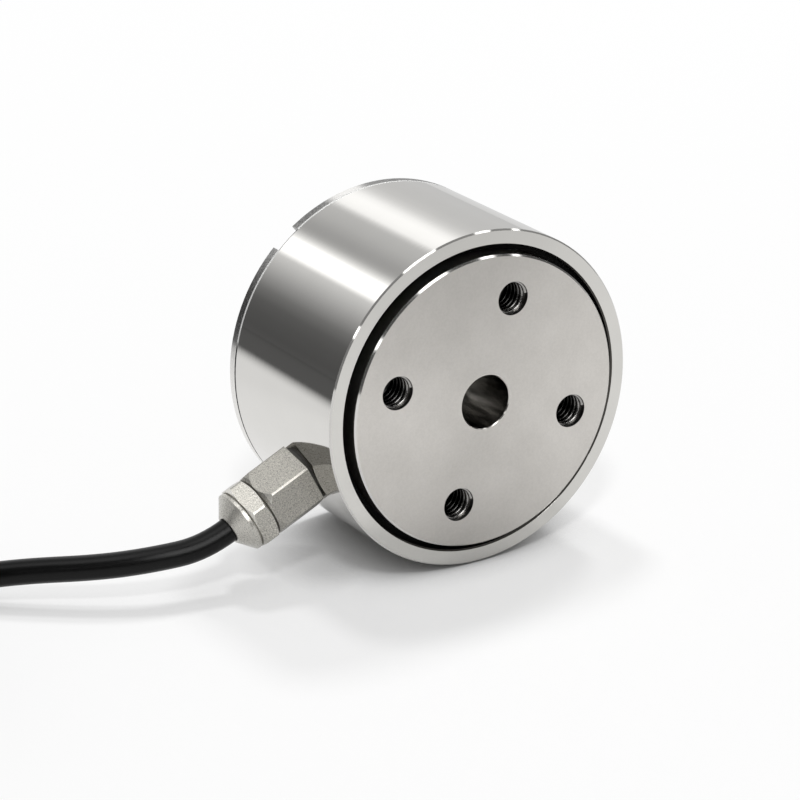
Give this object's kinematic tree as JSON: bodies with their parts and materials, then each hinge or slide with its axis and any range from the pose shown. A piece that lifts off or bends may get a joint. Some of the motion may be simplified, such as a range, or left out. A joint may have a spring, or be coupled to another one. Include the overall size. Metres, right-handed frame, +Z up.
{
  "type": "miniature load cell",
  "caption": "Short cylindrical column load cell with a load disc standing proud of its sleeve, tapped mounting holes on both faces, a centre bore and a side cable gland with a folded cable.",
  "frame": {"origin": "centre of the bottom of the cell's own box, on the table it lies on, the gland and cable left out", "axes": "+Z up; -Y out of the load face along the load axis; -X towards the side the cable leaves on"},
  "size_m": [0.1952, 0.0462, 0.057],
  "materials": {
    "stainless_body": "fine turned satin",
    "stainless_sleeve": "polished turned",
    "seal_rubber": "matt",
    "nickel_gland": "satin nickel plate",
    "cable_jacket": "satin",
    "tie_nylon": "satin",
    "gauge_film": "translucent film look",
    "board_laminate": "solder mask",
    "solder": "satin",
    "resistor_body": "glazed",
    "tinned_copper": "satin",
    "red_insulation": "satin",
    "black_insulation": "satin",
    "green_insulation": "satin",
    "white_insulation": "satin"
  },
  "bodies": {
    "root": {"elastic_body": "stainless_body", "housing_sleeve": "stainless_sleeve", "gap_seal": "seal_rubber", "gland_body": "nickel_gland", "gland_nut": "nickel_gland", "gland_bush": "seal_rubber", "gland_seal": "seal_rubber", "jacket_in_gland": "cable_jacket", "cable": "cable_jacket", "cable_hank": "cable_jacket", "cable_tie_1": "tie_nylon", "cable_tie_2": "tie_nylon", "strain_gauge_1": "gauge_film", "strain_gauge_2": "gauge_film", "strain_gauge_3": "gauge_film", "strain_gauge_4": "gauge_film", "terminal_board": "board_laminate", "solder_joints": "solder", "trim_resistors": "resistor_body", "gauge_wires": "tinned_copper", "core_red": "red_insulation", "core_black": "black_insulation", "core_green": "green_insulation", "core_white": "white_insulation", "lead_red": "red_insulation", "lead_black": "black_insulation", "lead_green": "green_insulation", "lead_white": "white_insulation", "lead_tips": "tinned_copper", "drain_wire": "tinned_copper"}
  },
  "joints": []
}
